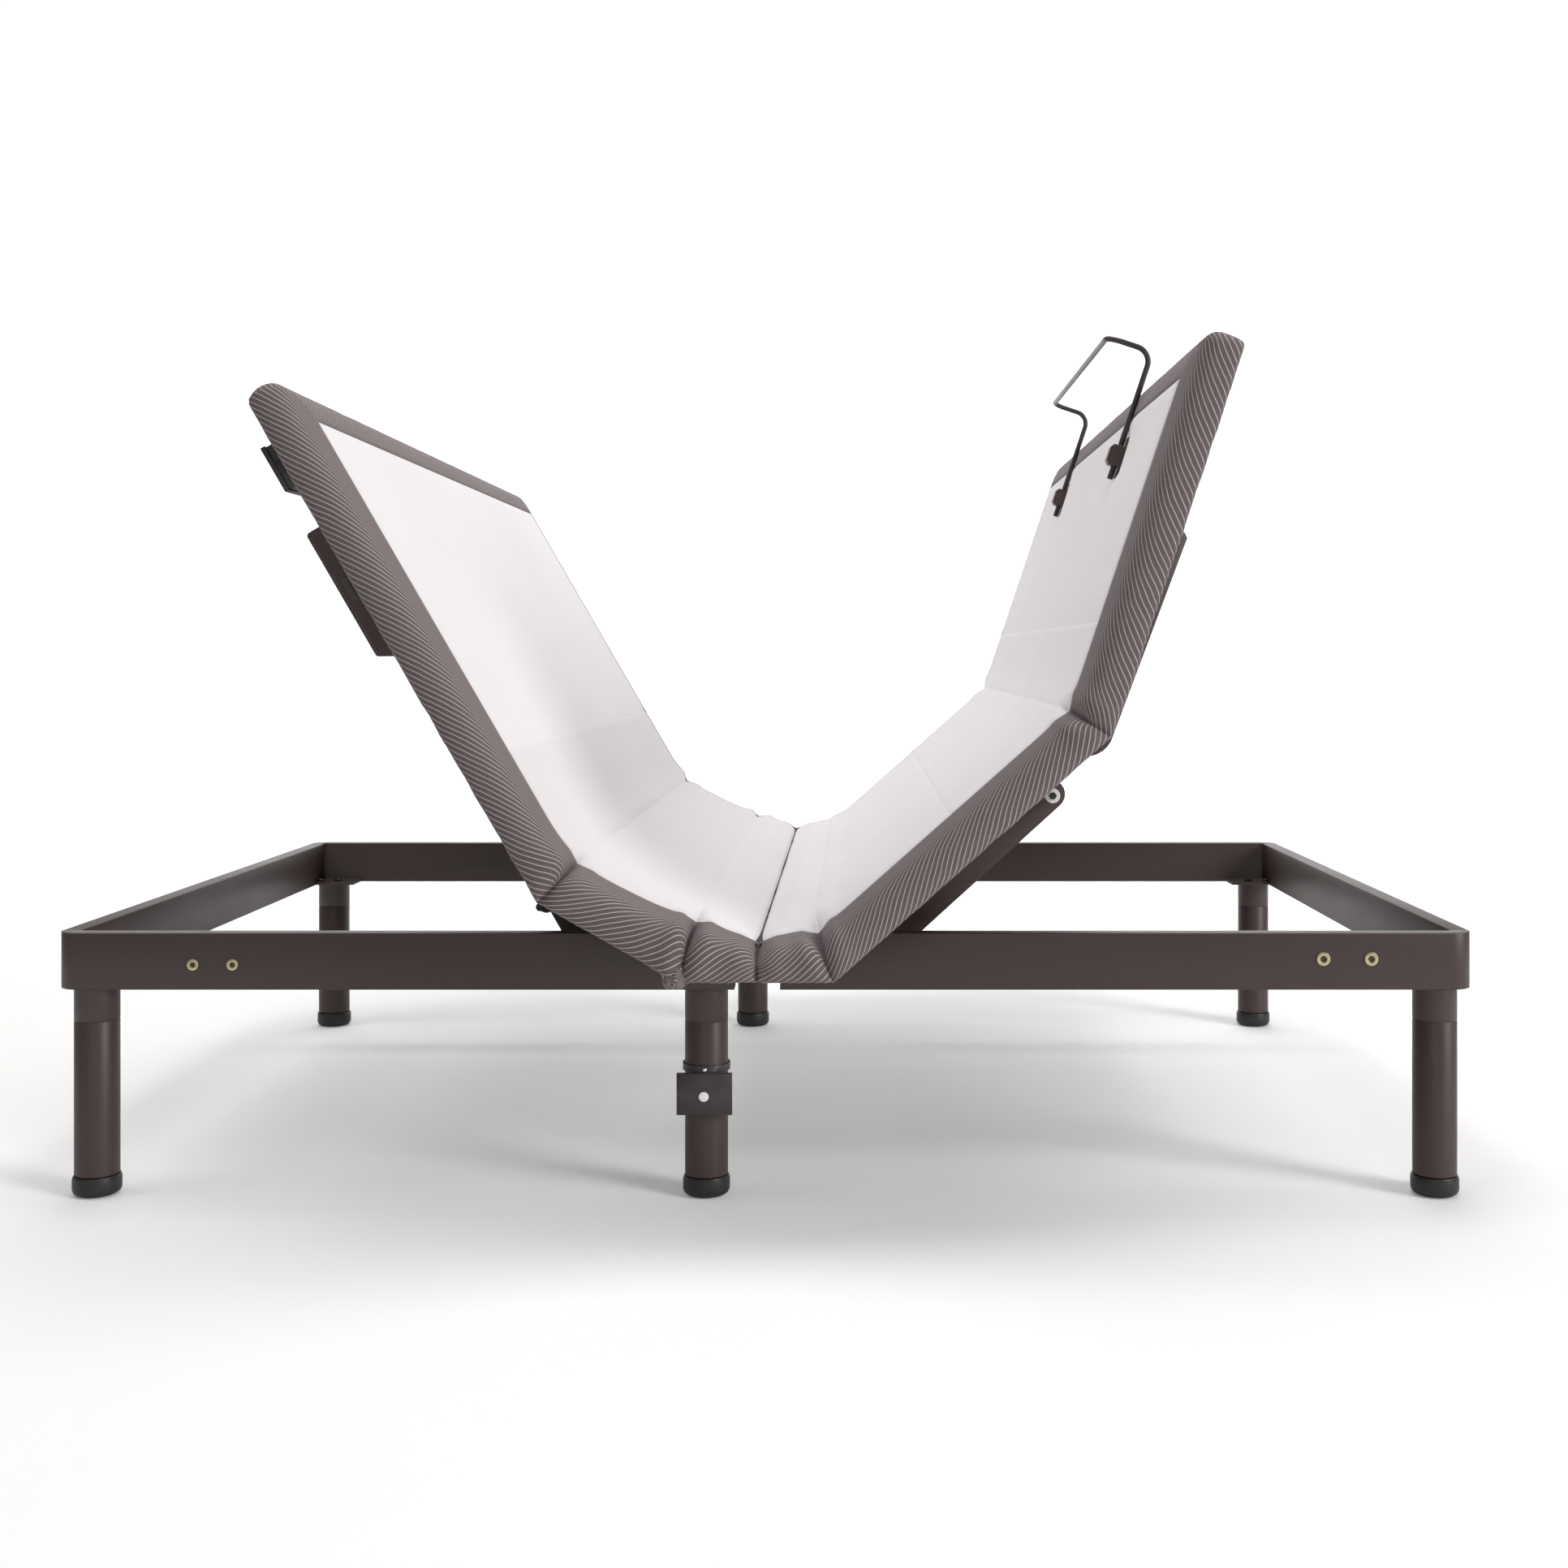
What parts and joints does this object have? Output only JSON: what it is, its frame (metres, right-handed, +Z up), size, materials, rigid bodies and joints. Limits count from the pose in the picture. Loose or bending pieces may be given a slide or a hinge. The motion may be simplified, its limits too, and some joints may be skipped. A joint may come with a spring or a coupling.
{
  "type": "adjustable bed base",
  "caption": "Upholstered adjustable bed base with folding back, lumbar, thigh and calf panels over an inset steel frame, shown raised.",
  "frame": {"origin": "on the floor, under the middle of the bed's length and width", "axes": "+X towards the foot end, +Y across the bed away from the side shown, +Z up"},
  "size_m": [1.87, 1.52, 1.1777],
  "materials": {
    "frame_paint": "satin",
    "black_plastic": "matte",
    "zinc_insert": "satin yellow zinc plate",
    "border_fabric": "ribbed knit",
    "deck_board": "board with a black lining cloth",
    "motor_housing": "matte",
    "actuator_rod": "polished",
    "pouch_fabric": "woven mesh",
    "light_lens": "gloss"
  },
  "bodies": {
    "base": {"rail_head_near": "frame_paint", "rail_head_far": "frame_paint", "rail_foot_near": "frame_paint", "rail_foot_far": "frame_paint", "rail_head_end": "frame_paint", "rail_foot_end": "frame_paint", "centre_beam": "frame_paint", "leg_head_near": "frame_paint", "leg_head_far": "frame_paint", "leg_mid_near": "frame_paint", "leg_mid_far": "frame_paint", "leg_foot_near": "frame_paint", "leg_foot_far": "frame_paint", "foot_cap_head_near": "black_plastic", "foot_cap_head_far": "black_plastic", "foot_cap_mid_near": "black_plastic", "foot_cap_mid_far": "black_plastic", "foot_cap_foot_near": "black_plastic", "foot_cap_foot_far": "black_plastic", "insert_head_outer": "zinc_insert", "insert_head_inner": "zinc_insert", "insert_foot_inner": "zinc_insert", "insert_foot_outer": "zinc_insert", "seat_board_head": "deck_board", "seat_board_foot": "deck_board", "seat_pad_head": "border_fabric", "seat_pad_foot": "border_fabric", "leg_light": "black_plastic", "leg_light_lens": "light_lens"},
    "lumbar": {"lumbar_pad": "border_fabric", "lumbar_board": "deck_board"},
    "back": {"back_pad": "border_fabric", "back_board": "deck_board", "back_bar_near": "frame_paint", "back_bar_far": "frame_paint", "massage_motor": "motor_housing", "control_pouch": "pouch_fabric"},
    "thigh": {"thigh_pad": "border_fabric", "thigh_board": "deck_board", "thigh_bar_near": "frame_paint", "thigh_bar_far": "frame_paint"},
    "calf": {"calf_pad": "border_fabric", "calf_board": "deck_board", "calf_bar_near": "frame_paint", "calf_bar_far": "frame_paint", "calf_cross": "frame_paint", "retainer_bar": "frame_paint", "retainer_foot_near": "frame_paint", "retainer_foot_far": "frame_paint"},
    "head_lever": {"head_shaft": "frame_paint", "head_arm_near": "frame_paint", "head_arm_far": "frame_paint"},
    "foot_lever": {"foot_shaft": "frame_paint", "foot_arm_near": "frame_paint", "foot_arm_far": "frame_paint"},
    "calf_link": {"calf_link": "frame_paint"},
    "head_motor": {"head_motor": "motor_housing"},
    "head_rod": {"head_rod": "actuator_rod"},
    "foot_motor": {"foot_motor": "motor_housing"},
    "foot_rod": {"foot_rod": "actuator_rod"}
  },
  "joints": [
    {"name": "lumbar_lift", "type": "hinge", "parent": "base", "child": "lumbar", "pos_m": [-0.094, 0, 0.322], "axis": [0, 1, 0], "range_deg": [-29.5, 0]},
    {"name": "back_fold", "type": "hinge", "parent": "lumbar", "child": "back", "pos_m": [-0.26372, 0, 0.41802], "axis": [0, 1, 0], "range_deg": [-30.4, 0]},
    {"name": "thigh_lift", "type": "hinge", "parent": "base", "child": "thigh", "pos_m": [0.093, 0, 0.322], "axis": [0, -1, 0], "range_deg": [-41.5, 0]},
    {"name": "calf_fold", "type": "hinge", "parent": "thigh", "child": "calf", "pos_m": [0.42703, 0, 0.61753], "axis": [0, -1, 0], "range_deg": [-30, 0]},
    {"name": "head_lever_turn", "type": "hinge", "parent": "base", "child": "head_lever", "pos_m": [-0.231, 0, 0.3], "axis": [0, 1, 0], "range_deg": [-61.34, 0]},
    {"name": "foot_lever_turn", "type": "hinge", "parent": "base", "child": "foot_lever", "pos_m": [0.12017, 0, 0.29129], "axis": [0, -1, 0], "range_deg": [-43.17, 0]},
    {"name": "calf_link_turn", "type": "hinge", "parent": "base", "child": "calf_link", "pos_m": [0.1, 0, 0.3362], "axis": [0, -1, 0], "range_deg": [-39.02, 0]},
    {"name": "head_motor_swing", "type": "hinge", "parent": "base", "child": "head_motor", "pos_m": [0.1, -0.09, 0.243], "axis": [0, 1, 0], "range_deg": [-2.01, 0]},
    {"name": "head_rod_slide", "type": "slide", "parent": "head_motor", "child": "head_rod", "axis": [-0.9998, 0, 0.0219], "range_m": [-0.06524, 0]},
    {"name": "foot_motor_swing", "type": "hinge", "parent": "base", "child": "foot_motor", "pos_m": [-0.1, 0.09, 0.232], "axis": [0, -1, 0], "range_deg": [-4.54, 0]},
    {"name": "foot_rod_slide", "type": "slide", "parent": "foot_motor", "child": "foot_rod", "axis": [0.9995, 0, 0.0307], "range_m": [-0.04776, 0]}
  ],
  "couplings": [
    {"joint": "back_fold", "follows": "lumbar_lift", "ratio": 1.0305},
    {"joint": "head_lever_turn", "follows": "lumbar_lift", "ratio": 2.0793},
    {"joint": "head_motor_swing", "follows": "lumbar_lift", "ratio": 0.068271},
    {"joint": "head_rod_slide", "follows": "lumbar_lift", "m_per_rad": 0.12671},
    {"joint": "calf_fold", "follows": "thigh_lift", "ratio": 0.72289},
    {"joint": "foot_lever_turn", "follows": "thigh_lift", "ratio": 1.0402},
    {"joint": "calf_link_turn", "follows": "thigh_lift", "ratio": 0.94024},
    {"joint": "foot_motor_swing", "follows": "thigh_lift", "ratio": 0.10952},
    {"joint": "foot_rod_slide", "follows": "thigh_lift", "m_per_rad": 0.065938}
  ]
}
